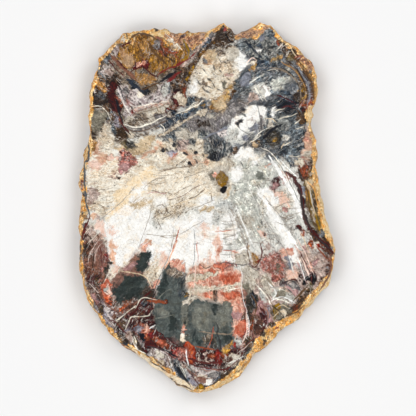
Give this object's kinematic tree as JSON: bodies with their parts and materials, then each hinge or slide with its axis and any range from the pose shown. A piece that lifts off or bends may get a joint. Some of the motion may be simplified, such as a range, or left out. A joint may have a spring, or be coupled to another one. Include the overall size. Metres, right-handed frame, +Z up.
{
  "type": "petrified wood slice",
  "caption": "Slab cut across a fossil log: a polished flat face, a sawn flat underside and a rough bark wall round it.",
  "frame": {"origin": "middle of the bounding box of the sawn underside, on the surface that the slice rests on", "axes": "+Z up out of the polished face, +Y towards the flat end of the slice, -Y towards its point, +X to the right seen from above"},
  "size_m": [0.2584, 0.3727, 0.024],
  "materials": {
    "petrified_wood": "polished"
  },
  "bodies": {
    "root": {"petrified_wood_slice": "petrified_wood"}
  },
  "joints": []
}
